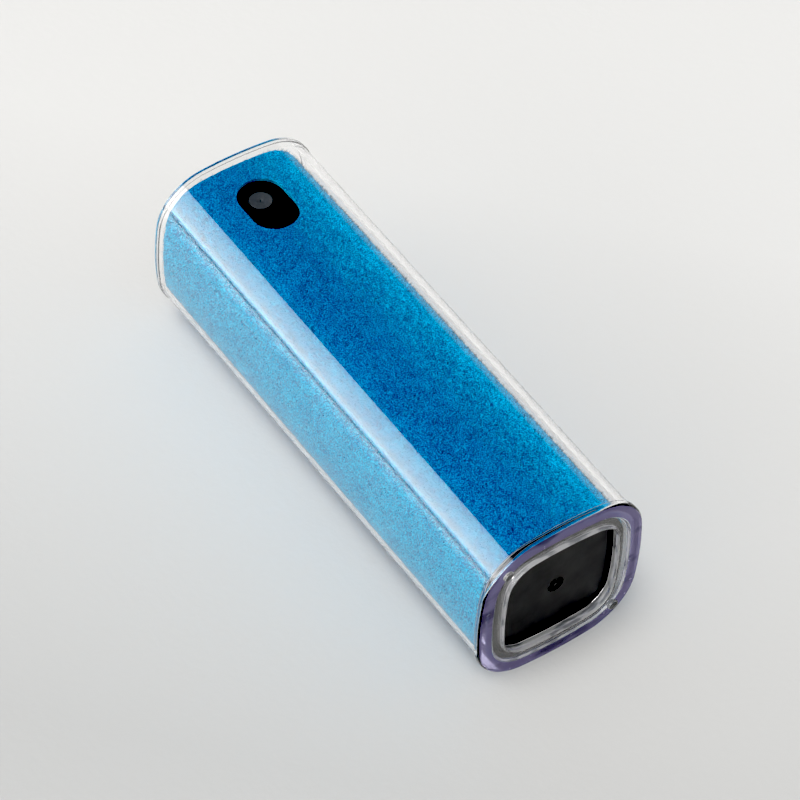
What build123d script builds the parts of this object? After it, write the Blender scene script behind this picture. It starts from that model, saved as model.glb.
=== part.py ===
"""Pocket lens cleaning spray: a mist bottle inside a microfibre-wrapped stick with a clear slip-on cover.

Lengths are in millimetres. X runs along the stick: -X is the cover's mouth and the push button,
+X is the cover's closed end with its finger opening. +Z is up, through the spray window.
The origin is under the middle of the stick, on the surface that it lies on.
"""
import os
from math import radians, sqrt, tan

from build123d import *

# ---------------------------------------------------------------- driving dimensions
OVERALL_LENGTH = 93.0
OVERALL_WIDTH = 30.5

# The rounded-square section: crowned sides and round corners. Every other section is parallel to it.
BASE_HALF = 15.0
BASE_CROWN_RADIUS = 60.0
BASE_CORNER_RADIUS = 9.4

# Clear cover
PIP_HEIGHT = 0.5
PIP_RADIUS = 0.95
PIP_OFFSET = 10.7
PIP_ROUNDING = 0.35
LIP_LENGTH = 1.1
LIP_ROUNDING = 0.25
RING_LENGTH = 1.2
RING_ROUNDING = 0.55
TUBE_HALF_AT_MOUTH = 15.1
TUBE_HALF_AT_RING = 14.8
CAVITY_HALF_AT_MOUTH = 14.05
CAVITY_HALF_AT_END = 13.75
END_WALL = 0.8
GROOVE_HALF = 12.8
GROOVE_DEPTH = 0.35
GROOVE_FLANK_ANGLE = 45.0
OPENING_COLLAR_HALF = 10.95
OPENING_HALF = 10.6
OPENING_COLLAR_PROUD = 0.28
OPENING_COLLAR_INWARD = 1.45
OPENING_COLLAR_ROUNDING = 0.15

# Wiper body, which rests a little off the cover's axis
BODY_SHIFT_Y = -0.3
BODY_DROP = 0.3
HOUSING_HALF = 12.35
HOUSING_WALL = 0.95
HOUSING_FAR_GAP = 0.2
HOUSING_END_DEPTH = 1.05
BULKHEAD_THICKNESS = 1.0
BULKHEAD_BORE_RADIUS = 8.3
FILM_GAP = 0.02
FILM_THICKNESS = 0.08
CLOTH_HALF = 13.1
CLOTH_NEAR_DEPTH = 2.3
CLOTH_FAR_GAP = 0.45
FILM_FAR_PROUD = 0.2
FILM_WINDOW_MARGIN = 0.5
WINDOW_LENGTH = 11.9
WINDOW_WIDTH = 8.1
WINDOW_CENTRE_X = -35.65

# Base plug
PLUG_FACE_DEPTH = 1.6
PLUG_PAD_HALF = 10.3
PLUG_PAD_HEIGHT = 0.3
PLUG_PAD_ROUNDING = 0.25
PLUG_FLANGE_HALF = 11.3
PLUG_FLANGE_THICKNESS = 1.5
PLUG_SKIRT_LENGTH = 5.0
PLUG_SKIRT_WALL = 1.1
PLUG_BEAD_HALF = 11.5
PLUG_BEAD_LENGTH = 0.8
PLUG_BEAD_CLEARANCE = 0.1
GATE_RADIUS = 1.4
GATE_DEPTH = 0.4
GATE_SHIFT_Y = 0.4
GATE_NUB_RADIUS = 0.4

# Push button and nozzle
STROKE = 3.5
BUTTON_HALF = 11.0
BUTTON_LENGTH = 11.6
BUTTON_WALL = 1.1
BUTTON_FACE_GAP = 0.4
BUTTON_ROUNDING = 0.6
STEM_BOSS_RADIUS = 3.0
STEM_BOSS_LENGTH = 13.7
NOZZLE_X = -37.9
NOZZLE_BLOCK_WIDTH = 6.4
NOZZLE_BLOCK_LENGTH = 6.0
NOZZLE_BOSS_RADIUS = 2.6
NOZZLE_BOSS_TOP = 11.55
NOZZLE_RADIUS = 1.92
NOZZLE_TOP = 11.8
NOZZLE_HEIGHT = 3.0
NOZZLE_POCKET_CLEARANCE = 0.03
NOZZLE_DISH_RADIUS = 0.7
NOZZLE_DISH_DEPTH = 0.08
NOZZLE_ORIFICE_RADIUS = 0.12
CHANNEL_RADIUS = 0.5

# Bottle
SHOULDER_X = -12.9
BOTTLE_BASE_X = 42.3
BOTTLE_HALF = 9.9
BOTTLE_WALL = 1.0
BOTTLE_ROUNDING = 1.5
NECK_RADIUS = 5.9
NECK_BORE_RADIUS = 4.9
NECK_TOP_X = -24.5
THREAD_RADIUS = 6.45
THREAD_WIDTH = 0.8
THREAD_PITCH = 3.0
THREAD_COUNT = 3
THREAD_CREST_GAP = 0.15
FLUID_GAP = 0.05
FLUID_LEVEL = 2.0

# Pump
GASKET_THICKNESS = 0.7
CYLINDER_FLANGE_RADIUS = 6.3
CYLINDER_FLANGE_THICKNESS = 1.0
CYLINDER_RADIUS = 4.2
CYLINDER_BORE_RADIUS = 3.2
CYLINDER_END_X = -7.5
CYLINDER_END_WALL = 1.2
SOCKET_RADIUS = 1.9
SOCKET_LENGTH = 4.8
INLET_RADIUS = 0.9
BALL_RADIUS = 1.25
BALL_LIFT = 0.6
TUBE_RADIUS = 1.25
TUBE_BORE_RADIUS = 0.8
TUBE_FIT = 0.04
TUBE_END_X = 40.6
TUBE_SLANT = 30.0
CHAPLET_FLANGE_RADIUS = 5.6
CHAPLET_FLANGE_THICKNESS = 1.0
CHAPLET_SKIRT_LENGTH = 4.3
CHAPLET_SKIRT_WALL = 0.7
STEM_RADIUS = 1.6
STEM_BORE_RADIUS = 0.8
STEM_TOP_X = -37.0
STEM_SEAT_RADIUS = 2.7
STEM_SEAT_X = -17.3
STEM_SEAT_THICKNESS = 0.8
STEM_TAIL_RADIUS = 1.2
STEM_TAIL_END_X = -15.0
STEM_PORT_RADIUS = 0.45
RUNNING_FIT = 0.05
PISTON_LAG = 0.4
PISTON_LENGTH = 4.0
PISTON_WAIST_RADIUS = 2.4
PISTON_LIP_LENGTH = 1.0
PISTON_TAPER_LENGTH = 0.5
SCREW_COLLAR_RADIUS = 8.0
SCREW_COLLAR_BORE_RADIUS = 6.65
SCREW_COLLAR_TOP_THICKNESS = 1.0
SCREW_COLLAR_HOLE_RADIUS = 2.4
SCREW_COLLAR_END_X = -14.7
SCREW_COLLAR_RIB_COUNT = 30
SCREW_COLLAR_RIB_RADIUS = 0.3
SCREW_COLLAR_THREAD_LAG = 1.8
SEAL_LENGTH = 1.4
SEAL_FIT = 0.02
RETAINER_RADIUS = 1.9
RETAINER_BORE_RADIUS = 1.4
RETAINER_WEB = 0.45
RETAINER_BRIM = 0.4
RETAINER_VENT_RADIUS = 0.5
RETAINER_PORT_RADIUS = 0.6
SPRING_RADIUS = 2.35
SPRING_WIRE_RADIUS = 0.22
SPRING_TURNS = 7
SPRING_END_GAP = 0.06

# ---------------------------------------------------------------- derived stations along X
MOUTH_X = -OVERALL_LENGTH / 2
RING_FACE_X = OVERALL_LENGTH / 2 - PIP_HEIGHT
RING_BACK_X = RING_FACE_X - RING_LENGTH
END_WALL_INSIDE_X = RING_FACE_X - END_WALL
OPENING_COLLAR_INNER_X = RING_FACE_X - OPENING_COLLAR_INWARD
HOUSING_FAR_X = MOUTH_X + HOUSING_FAR_GAP
HOUSING_NEAR_X = RING_FACE_X - HOUSING_END_DEPTH
HOUSING_BORE_HALF = HOUSING_HALF - HOUSING_WALL
CLOTH_FAR_X = MOUTH_X + CLOTH_FAR_GAP
CLOTH_NEAR_X = RING_FACE_X - CLOTH_NEAR_DEPTH
FILM_FAR_X = CLOTH_FAR_X - FILM_FAR_PROUD
FILM_INNER_HALF = HOUSING_HALF + FILM_GAP
FILM_OUTER_HALF = FILM_INNER_HALF + FILM_THICKNESS
CLOTH_INNER_HALF = FILM_OUTER_HALF + FILM_GAP
PLUG_FACE_X = RING_FACE_X - PLUG_FACE_DEPTH
PLUG_FLANGE_FACE_X = PLUG_FACE_X - PLUG_PAD_HEIGHT
PLUG_FLANGE_BACK_X = PLUG_FLANGE_FACE_X - PLUG_FLANGE_THICKNESS
PLUG_SKIRT_END_X = PLUG_FLANGE_BACK_X - PLUG_SKIRT_LENGTH
PLUG_BEAD_X = PLUG_SKIRT_END_X + PLUG_SKIRT_LENGTH / 2
BUTTON_FACE_X = MOUTH_X + BUTTON_FACE_GAP
CYLINDER_FLANGE_X = NECK_TOP_X - GASKET_THICKNESS - CYLINDER_FLANGE_THICKNESS
CHAPLET_TOP_X = CYLINDER_FLANGE_X - CHAPLET_FLANGE_THICKNESS
SCREW_COLLAR_TOP_X = CHAPLET_TOP_X - SCREW_COLLAR_TOP_THICKNESS
PISTON_X = STEM_SEAT_X - PISTON_LENGTH
SPRING_START_X = STEM_SEAT_X + STEM_SEAT_THICKNESS + SPRING_WIRE_RADIUS + SPRING_END_GAP
BALL_X = CYLINDER_END_X - sqrt(BALL_RADIUS**2 - INLET_RADIUS**2)
RETAINER_BRIM_X = CYLINDER_END_X - RETAINER_BRIM
RETAINER_TOP_X = BALL_X - BALL_RADIUS - BALL_LIFT - RUNNING_FIT - RETAINER_WEB
SPRING_END_X = RETAINER_BRIM_X - SPRING_WIRE_RADIUS - SPRING_END_GAP

COVER_AXIS_Z = OVERALL_WIDTH / 2
BODY_AXIS_Z = COVER_AXIS_Z - BODY_DROP


# ---------------------------------------------------------------- planes and outlines
def cover_station(x):
    """The plane across the cover at x, with its own x along +Y and its own y along +Z."""
    return Plane(origin=(x, 0, COVER_AXIS_Z), x_dir=(0, 1, 0), z_dir=(1, 0, 0))


def body_station(x):
    """The plane across the wiper body at x, with its own x along +Y and its own y along +Z."""
    return Plane(origin=(x, BODY_SHIFT_Y, BODY_AXIS_Z), x_dir=(0, 1, 0), z_dir=(1, 0, 0))


def window_plane(height):
    """The plane parallel to the window, height above the body's axis, with its own x along +X."""
    return Plane(origin=(0, BODY_SHIFT_Y, BODY_AXIS_Z + height), x_dir=(1, 0, 0), z_dir=(0, 0, 1))


def body_profile_plane():
    """The plane through the body's axis, with its own x along +X and its own y upwards."""
    return Plane(origin=(0, BODY_SHIFT_Y, BODY_AXIS_Z), x_dir=(1, 0, 0), z_dir=(0, -1, 0))


def rounded_square(half):
    """The rounded square whose sides stand half away from its centre, parallel to the base section."""
    inset = BASE_HALF - half
    crown = BASE_CROWN_RADIUS - inset
    corner = BASE_CORNER_RADIUS - inset
    centre_drop = crown - half
    tip = (sqrt(2 * crown**2 - centre_drop**2) - centre_drop) / 2
    with BuildSketch() as outline:
        with BuildLine():
            ThreePointArc((-tip, tip), (0, half), (tip, tip))
            ThreePointArc((tip, tip), (half, 0), (tip, -tip))
            ThreePointArc((tip, -tip), (0, -half), (-tip, -tip))
            ThreePointArc((-tip, -tip), (-half, 0), (-tip, tip))
        make_face()
        fillet(outline.vertices(), corner)
    return outline.sketch


BODY_AXIS = Axis((0, BODY_SHIFT_Y, BODY_AXIS_Z), (1, 0, 0))

os.makedirs("parts", exist_ok=True)

# ---------------------------------------------------------------- clear cover
lip_outline = rounded_square(OVERALL_WIDTH / 2)
tube_at_mouth = rounded_square(TUBE_HALF_AT_MOUTH)
tube_at_ring = rounded_square(TUBE_HALF_AT_RING)
cavity_at_mouth = rounded_square(CAVITY_HALF_AT_MOUTH)
cavity_at_end = rounded_square(CAVITY_HALF_AT_END)
groove_outline = rounded_square(GROOVE_HALF)
opening_collar_outline = rounded_square(OPENING_COLLAR_HALF)
opening_outline = rounded_square(OPENING_HALF)

with BuildPart() as clear_cover:
    # Lip round the mouth
    with BuildSketch(cover_station(MOUTH_X)):
        add(lip_outline)
    extrude(amount=LIP_LENGTH)
    fillet(clear_cover.faces().sort_by(Axis.X)[0].edges(), LIP_ROUNDING)
    # Tube, slightly wider at the mouth so that it leaves its mould
    with BuildSketch(cover_station(MOUTH_X + LIP_LENGTH)):
        add(tube_at_mouth)
    with BuildSketch(cover_station(RING_BACK_X)):
        add(tube_at_ring)
    loft(ruled=True)
    # End ring
    with BuildSketch(cover_station(RING_BACK_X)):
        add(lip_outline)
    extrude(amount=RING_LENGTH)
    fillet(clear_cover.faces().sort_by(Axis.X)[-1].edges(), RING_ROUNDING)
    # Cavity for the wiper body
    with BuildSketch(cover_station(MOUTH_X)):
        add(cavity_at_mouth)
    with BuildSketch(cover_station(END_WALL_INSIDE_X)):
        add(cavity_at_end)
    loft(ruled=True, mode=Mode.SUBTRACT)
    # Sunk area inside the ring
    with BuildSketch(cover_station(RING_FACE_X)):
        add(groove_outline)
    extrude(amount=-GROOVE_DEPTH, taper=GROOVE_FLANK_ANGLE, mode=Mode.SUBTRACT)
    # Collar round the finger opening
    with BuildSketch(cover_station(OPENING_COLLAR_INNER_X)):
        add(opening_collar_outline)
    extrude(amount=OPENING_COLLAR_INWARD + OPENING_COLLAR_PROUD)
    with BuildSketch(cover_station(OPENING_COLLAR_INNER_X)):
        add(opening_outline)
    extrude(amount=OPENING_COLLAR_INWARD + OPENING_COLLAR_PROUD, mode=Mode.SUBTRACT)
    fillet(clear_cover.faces().sort_by(Axis.X)[-1].edges(), OPENING_COLLAR_ROUNDING)
    # Two pips at opposite corners of the ring
    with BuildSketch(cover_station(END_WALL_INSIDE_X)):
        with Locations((-PIP_OFFSET, PIP_OFFSET), (PIP_OFFSET, -PIP_OFFSET)):
            Circle(PIP_RADIUS)
    extrude(amount=END_WALL + PIP_HEIGHT)
    pip_faces = clear_cover.faces().sort_by(Axis.X)[-2:]
    fillet(pip_faces.edges(), PIP_ROUNDING)
clear_cover.part.label = "clear_cover"
export_step(clear_cover.part, "parts/clear_cover.step")

# ---------------------------------------------------------------- housing
housing_outline = rounded_square(HOUSING_HALF)
housing_bore_outline = rounded_square(HOUSING_BORE_HALF)
bead_groove_outline = rounded_square(PLUG_BEAD_HALF + PLUG_BEAD_CLEARANCE)
BEAD_GROOVE_LENGTH = PLUG_BEAD_LENGTH + 2 * PLUG_BEAD_CLEARANCE

with BuildPart() as housing:
    with BuildSketch(body_station(HOUSING_FAR_X)):
        add(housing_outline)
        add(housing_bore_outline, mode=Mode.SUBTRACT)
    extrude(amount=HOUSING_NEAR_X - HOUSING_FAR_X)
    # Bulkhead that the bottle's shoulder stands against
    with BuildSketch(body_station(SHOULDER_X - BULKHEAD_THICKNESS)):
        add(housing_outline)
        Circle(BULKHEAD_BORE_RADIUS, mode=Mode.SUBTRACT)
    extrude(amount=BULKHEAD_THICKNESS)
    # Groove that the base plug's bead snaps into
    with BuildSketch(body_station(PLUG_BEAD_X - BEAD_GROOVE_LENGTH / 2)):
        add(bead_groove_outline)
    extrude(amount=BEAD_GROOVE_LENGTH, mode=Mode.SUBTRACT)
    # Spray window
    with BuildSketch(window_plane(0)):
        with Locations((WINDOW_CENTRE_X, 0)):
            SlotOverall(WINDOW_LENGTH, WINDOW_WIDTH)
    extrude(amount=CLOTH_HALF, mode=Mode.SUBTRACT)
housing.part.label = "housing"
export_step(housing.part, "parts/housing.step")

# ---------------------------------------------------------------- adhesive film and microfibre sleeve
film_outline = rounded_square(FILM_OUTER_HALF)
film_bore_outline = rounded_square(FILM_INNER_HALF)
cloth_outline = rounded_square(CLOTH_HALF)
cloth_bore_outline = rounded_square(CLOTH_INNER_HALF)

with BuildPart() as adhesive_film:
    with BuildSketch(body_station(FILM_FAR_X)):
        add(film_outline)
        add(film_bore_outline, mode=Mode.SUBTRACT)
    extrude(amount=CLOTH_NEAR_X - FILM_FAR_X)
    # Its own opening stands back from the spray window
    with BuildSketch(window_plane(0)):
        with Locations((WINDOW_CENTRE_X, 0)):
            SlotOverall(WINDOW_LENGTH + 2 * FILM_WINDOW_MARGIN, WINDOW_WIDTH + 2 * FILM_WINDOW_MARGIN)
    extrude(amount=CLOTH_HALF, mode=Mode.SUBTRACT)
adhesive_film.part.label = "adhesive_film"
export_step(adhesive_film.part, "parts/adhesive_film.step")

with BuildPart() as microfibre_sleeve:
    with BuildSketch(body_station(CLOTH_FAR_X)):
        add(cloth_outline)
        add(cloth_bore_outline, mode=Mode.SUBTRACT)
    extrude(amount=CLOTH_NEAR_X - CLOTH_FAR_X)
    with BuildSketch(window_plane(0)):
        with Locations((WINDOW_CENTRE_X, 0)):
            SlotOverall(WINDOW_LENGTH, WINDOW_WIDTH)
    extrude(amount=CLOTH_HALF, mode=Mode.SUBTRACT)
microfibre_sleeve.part.label = "microfibre_sleeve"
export_step(microfibre_sleeve.part, "parts/microfibre_sleeve.step")

# ---------------------------------------------------------------- base plug
pad_outline = rounded_square(PLUG_PAD_HALF)
flange_outline = rounded_square(PLUG_FLANGE_HALF)
bead_outline = rounded_square(PLUG_BEAD_HALF)
skirt_bore_outline = rounded_square(PLUG_FLANGE_HALF - PLUG_SKIRT_WALL)

with BuildPart() as base_plug:
    with BuildSketch(body_station(PLUG_SKIRT_END_X)):
        add(flange_outline)
    extrude(amount=PLUG_SKIRT_LENGTH + PLUG_FLANGE_THICKNESS)
    with BuildSketch(body_station(PLUG_BEAD_X - PLUG_BEAD_LENGTH / 2)):
        add(bead_outline)
    extrude(amount=PLUG_BEAD_LENGTH)
    # Raised pad that a finger presses on to push the body out of the cover
    with BuildSketch(body_station(PLUG_FLANGE_FACE_X)):
        add(pad_outline)
    extrude(amount=PLUG_PAD_HEIGHT)
    fillet(base_plug.faces().sort_by(Axis.X)[-1].edges(), PLUG_PAD_ROUNDING)
    # Hollow skirt round the bottle's foot
    with BuildSketch(body_station(PLUG_SKIRT_END_X)):
        add(skirt_bore_outline)
    extrude(amount=PLUG_SKIRT_LENGTH, mode=Mode.SUBTRACT)
    # Moulding gate mark: a sunk ring round a small nub, a little off centre
    with BuildSketch(body_station(PLUG_FACE_X)):
        with Locations((GATE_SHIFT_Y, 0)):
            Circle(GATE_RADIUS)
            Circle(GATE_NUB_RADIUS, mode=Mode.SUBTRACT)
    extrude(amount=-GATE_DEPTH, mode=Mode.SUBTRACT)
base_plug.part.label = "base_plug"
export_step(base_plug.part, "parts/base_plug.step")

# ---------------------------------------------------------------- push button
button_outline = rounded_square(BUTTON_HALF)
button_bore_outline = rounded_square(BUTTON_HALF - BUTTON_WALL)

with BuildPart() as push_button:
    with BuildSketch(body_station(BUTTON_FACE_X)):
        add(button_outline)
    extrude(amount=BUTTON_LENGTH)
    fillet(push_button.faces().sort_by(Axis.X)[0].edges(), BUTTON_ROUNDING)
    with BuildSketch(body_station(BUTTON_FACE_X + BUTTON_WALL)):
        add(button_bore_outline)
    extrude(amount=BUTTON_LENGTH, mode=Mode.SUBTRACT)
    # Boss that the stem plugs into
    with BuildSketch(body_station(BUTTON_FACE_X + BUTTON_WALL / 2)):
        Circle(STEM_BOSS_RADIUS)
    extrude(amount=STEM_BOSS_LENGTH - BUTTON_WALL / 2)
    # Block between the boss and the nozzle, with a round boss in the window
    with BuildSketch(window_plane(0)):
        with Locations((NOZZLE_X, 0)):
            Rectangle(NOZZLE_BLOCK_LENGTH, NOZZLE_BLOCK_WIDTH)
    extrude(amount=BUTTON_HALF - BUTTON_WALL / 2)
    with BuildSketch(window_plane(BUTTON_HALF - BUTTON_WALL)):
        with Locations((NOZZLE_X, 0)):
            Circle(NOZZLE_BOSS_RADIUS)
    extrude(amount=NOZZLE_BOSS_TOP - BUTTON_HALF + BUTTON_WALL)
    # Pocket for the nozzle insert
    with BuildSketch(window_plane(NOZZLE_TOP - NOZZLE_HEIGHT)):
        with Locations((NOZZLE_X, 0)):
            Circle(NOZZLE_RADIUS + NOZZLE_POCKET_CLEARANCE)
    extrude(amount=NOZZLE_HEIGHT, mode=Mode.SUBTRACT)
    # Channel from the stem up to the insert
    with BuildSketch(window_plane(0)):
        with Locations((NOZZLE_X, 0)):
            Circle(CHANNEL_RADIUS)
    extrude(amount=NOZZLE_TOP, mode=Mode.SUBTRACT)
    # Bore for the stem, and its narrower end up to the channel
    with BuildSketch(body_station(STEM_TOP_X)):
        Circle(STEM_RADIUS + RUNNING_FIT)
    extrude(amount=STROKE + STEM_BOSS_LENGTH, mode=Mode.SUBTRACT)
    with BuildSketch(body_station(NOZZLE_X)):
        Circle(CHANNEL_RADIUS)
    extrude(amount=STEM_TOP_X - NOZZLE_X, mode=Mode.SUBTRACT)
push_button.part.label = "push_button"
export_step(push_button.part, "parts/push_button.step")

# ---------------------------------------------------------------- nozzle insert
with BuildPart() as nozzle_insert:
    with BuildSketch(window_plane(NOZZLE_TOP - NOZZLE_HEIGHT)):
        with Locations((NOZZLE_X, 0)):
            Circle(NOZZLE_RADIUS)
    extrude(amount=NOZZLE_HEIGHT)
    with Locations(window_plane(NOZZLE_TOP).location * Location((NOZZLE_X, 0, 0))):
        Cone(
            NOZZLE_ORIFICE_RADIUS,
            NOZZLE_DISH_RADIUS,
            NOZZLE_DISH_DEPTH,
            align=(Align.CENTER, Align.CENTER, Align.MAX),
            mode=Mode.SUBTRACT,
        )
        Cylinder(
            NOZZLE_ORIFICE_RADIUS,
            NOZZLE_HEIGHT,
            align=(Align.CENTER, Align.CENTER, Align.MAX),
            mode=Mode.SUBTRACT,
        )
nozzle_insert.part.label = "nozzle_insert"
export_step(nozzle_insert.part, "parts/nozzle_insert.step")

# ---------------------------------------------------------------- bottle and fluid
bottle_outline = rounded_square(BOTTLE_HALF)
bottle_bore_outline = rounded_square(BOTTLE_HALF - BOTTLE_WALL)
fluid_outline = rounded_square(BOTTLE_HALF - BOTTLE_WALL - FLUID_GAP)
BOTTLE_INSIDE_START_X = SHOULDER_X + BOTTLE_WALL
BOTTLE_INSIDE_END_X = BOTTLE_BASE_X - BOTTLE_WALL
FIRST_THREAD_X = NECK_TOP_X + THREAD_PITCH / 2

with BuildPart() as bottle:
    with BuildSketch(body_station(SHOULDER_X)):
        add(bottle_outline)
    extrude(amount=BOTTLE_BASE_X - SHOULDER_X)
    fillet(bottle.faces().sort_by(Axis.X)[0].edges(), BOTTLE_ROUNDING)
    fillet(bottle.faces().sort_by(Axis.X)[-1].edges(), BOTTLE_ROUNDING)
    with BuildSketch(body_station(NECK_TOP_X)):
        Circle(NECK_RADIUS)
    extrude(amount=SHOULDER_X - NECK_TOP_X)
    # Thread, drawn as separate ridges round the neck
    for turn in range(THREAD_COUNT):
        with BuildSketch(body_station(FIRST_THREAD_X + turn * THREAD_PITCH)):
            Circle(THREAD_RADIUS)
        extrude(amount=THREAD_WIDTH)
    with BuildSketch(body_station(BOTTLE_INSIDE_START_X)):
        add(bottle_bore_outline)
    extrude(amount=BOTTLE_INSIDE_END_X - BOTTLE_INSIDE_START_X, mode=Mode.SUBTRACT)
    with BuildSketch(body_station(NECK_TOP_X)):
        Circle(NECK_BORE_RADIUS)
    extrude(amount=BOTTLE_INSIDE_START_X - NECK_TOP_X, mode=Mode.SUBTRACT)
bottle.part.label = "bottle"
export_step(bottle.part, "parts/bottle.step")

with BuildPart() as cleaning_fluid:
    with BuildSketch(body_station(BOTTLE_INSIDE_START_X + FLUID_GAP)):
        add(fluid_outline)
    extrude(amount=BOTTLE_INSIDE_END_X - BOTTLE_INSIDE_START_X - 2 * FLUID_GAP)
    # The bottle is part full and lies on its side, so the fluid has a level top
    split(bisect_by=window_plane(FLUID_LEVEL), keep=Keep.BOTTOM)
    # Room for the pump cylinder, its socket and the dip tube
    with BuildSketch(body_station(SHOULDER_X)):
        Circle(CYLINDER_RADIUS + FLUID_GAP)
    extrude(amount=CYLINDER_END_X + CYLINDER_END_WALL + FLUID_GAP - SHOULDER_X, mode=Mode.SUBTRACT)
    with BuildSketch(body_station(CYLINDER_END_X)):
        Circle(SOCKET_RADIUS + FLUID_GAP)
    extrude(amount=CYLINDER_END_WALL + SOCKET_LENGTH + FLUID_GAP, mode=Mode.SUBTRACT)
    with BuildSketch(body_station(CYLINDER_END_X)):
        Circle(TUBE_RADIUS + FLUID_GAP)
    extrude(amount=TUBE_END_X + FLUID_GAP - CYLINDER_END_X, mode=Mode.SUBTRACT)
cleaning_fluid.part.label = "cleaning_fluid"
export_step(cleaning_fluid.part, "parts/cleaning_fluid.step")

# ---------------------------------------------------------------- neck gasket
with BuildPart() as neck_gasket:
    with BuildSketch(body_station(NECK_TOP_X - GASKET_THICKNESS)):
        Circle(NECK_RADIUS)
        Circle(CYLINDER_RADIUS + RUNNING_FIT, mode=Mode.SUBTRACT)
    extrude(amount=GASKET_THICKNESS)
neck_gasket.part.label = "neck_gasket"
export_step(neck_gasket.part, "parts/neck_gasket.step")

# ---------------------------------------------------------------- pump cylinder
with BuildPart() as pump_cylinder:
    with BuildSketch(body_profile_plane()):
        with BuildLine():
            Polyline(
                (CYLINDER_FLANGE_X, CYLINDER_BORE_RADIUS),
                (CYLINDER_FLANGE_X, CYLINDER_FLANGE_RADIUS),
                (CYLINDER_FLANGE_X + CYLINDER_FLANGE_THICKNESS, CYLINDER_FLANGE_RADIUS),
                (CYLINDER_FLANGE_X + CYLINDER_FLANGE_THICKNESS, CYLINDER_RADIUS),
                (CYLINDER_END_X + CYLINDER_END_WALL, CYLINDER_RADIUS),
                (CYLINDER_END_X + CYLINDER_END_WALL, SOCKET_RADIUS),
                (CYLINDER_END_X + CYLINDER_END_WALL + SOCKET_LENGTH, SOCKET_RADIUS),
                (CYLINDER_END_X + CYLINDER_END_WALL + SOCKET_LENGTH, TUBE_RADIUS + TUBE_FIT),
                (CYLINDER_END_X + CYLINDER_END_WALL, TUBE_RADIUS + TUBE_FIT),
                (CYLINDER_END_X + CYLINDER_END_WALL, INLET_RADIUS),
                (CYLINDER_END_X, INLET_RADIUS),
                (CYLINDER_END_X, CYLINDER_BORE_RADIUS),
                close=True,
            )
        make_face()
    revolve(axis=BODY_AXIS)
pump_cylinder.part.label = "pump_cylinder"
export_step(pump_cylinder.part, "parts/pump_cylinder.step")

# ---------------------------------------------------------------- chaplet
CHAPLET_SKIRT_RADIUS = CYLINDER_BORE_RADIUS - RUNNING_FIT
CHAPLET_SKIRT_BORE = CHAPLET_SKIRT_RADIUS - CHAPLET_SKIRT_WALL

with BuildPart() as chaplet:
    with BuildSketch(body_profile_plane()):
        with BuildLine():
            Polyline(
                (CHAPLET_TOP_X, STEM_RADIUS + RUNNING_FIT),
                (CHAPLET_TOP_X, CHAPLET_FLANGE_RADIUS),
                (CYLINDER_FLANGE_X, CHAPLET_FLANGE_RADIUS),
                (CYLINDER_FLANGE_X, CHAPLET_SKIRT_RADIUS),
                (CYLINDER_FLANGE_X + CHAPLET_SKIRT_LENGTH, CHAPLET_SKIRT_RADIUS),
                (CYLINDER_FLANGE_X + CHAPLET_SKIRT_LENGTH, CHAPLET_SKIRT_BORE),
                (CYLINDER_FLANGE_X, CHAPLET_SKIRT_BORE),
                (CYLINDER_FLANGE_X, STEM_RADIUS + RUNNING_FIT),
                close=True,
            )
        make_face()
    revolve(axis=BODY_AXIS)
chaplet.part.label = "chaplet"
export_step(chaplet.part, "parts/chaplet.step")

# ---------------------------------------------------------------- stem
with BuildPart() as stem:
    with BuildSketch(body_station(STEM_TOP_X)):
        Circle(STEM_RADIUS)
    extrude(amount=STEM_SEAT_X - STEM_TOP_X)
    with BuildSketch(body_station(STEM_SEAT_X)):
        Circle(STEM_SEAT_RADIUS)
    extrude(amount=STEM_SEAT_THICKNESS)
    with BuildSketch(body_station(STEM_SEAT_X)):
        Circle(STEM_TAIL_RADIUS)
    extrude(amount=STEM_TAIL_END_X - STEM_SEAT_X)
    # Delivery bore, closed above the seat
    with BuildSketch(body_station(STEM_TOP_X)):
        Circle(STEM_BORE_RADIUS)
    extrude(amount=STEM_SEAT_X - STEM_TOP_X, mode=Mode.SUBTRACT)
    # Side ports that the piston covers at rest
    with BuildSketch(window_plane(-STEM_SEAT_RADIUS)):
        with Locations((STEM_SEAT_X - PISTON_LAG / 2 - STEM_PORT_RADIUS, 0)):
            Circle(STEM_PORT_RADIUS)
    extrude(amount=2 * STEM_SEAT_RADIUS, mode=Mode.SUBTRACT)
stem.part.label = "stem"
export_step(stem.part, "parts/stem.step")

# ---------------------------------------------------------------- piston
PISTON_RADIUS = CYLINDER_BORE_RADIUS - RUNNING_FIT

with BuildPart() as piston:
    with BuildSketch(body_profile_plane()):
        with BuildLine():
            Polyline(
                (PISTON_X, STEM_RADIUS + RUNNING_FIT),
                (PISTON_X, PISTON_RADIUS),
                (PISTON_X + PISTON_LIP_LENGTH, PISTON_RADIUS),
                (PISTON_X + PISTON_LIP_LENGTH + PISTON_TAPER_LENGTH, PISTON_WAIST_RADIUS),
                (STEM_SEAT_X - PISTON_LIP_LENGTH - PISTON_TAPER_LENGTH, PISTON_WAIST_RADIUS),
                (STEM_SEAT_X - PISTON_LIP_LENGTH, PISTON_RADIUS),
                (STEM_SEAT_X, PISTON_RADIUS),
                (STEM_SEAT_X, STEM_RADIUS + RUNNING_FIT),
                close=True,
            )
        make_face()
    revolve(axis=BODY_AXIS)
piston.part.label = "piston"
export_step(piston.part, "parts/piston.step")

# ---------------------------------------------------------------- stem seal
with BuildPart() as stem_seal:
    with BuildSketch(body_station(CYLINDER_FLANGE_X + RUNNING_FIT)):
        Circle(CHAPLET_SKIRT_BORE - SEAL_FIT)
        Circle(STEM_RADIUS + RUNNING_FIT, mode=Mode.SUBTRACT)
    extrude(amount=SEAL_LENGTH)
stem_seal.part.label = "stem_seal"
export_step(stem_seal.part, "parts/stem_seal.step")

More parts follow.
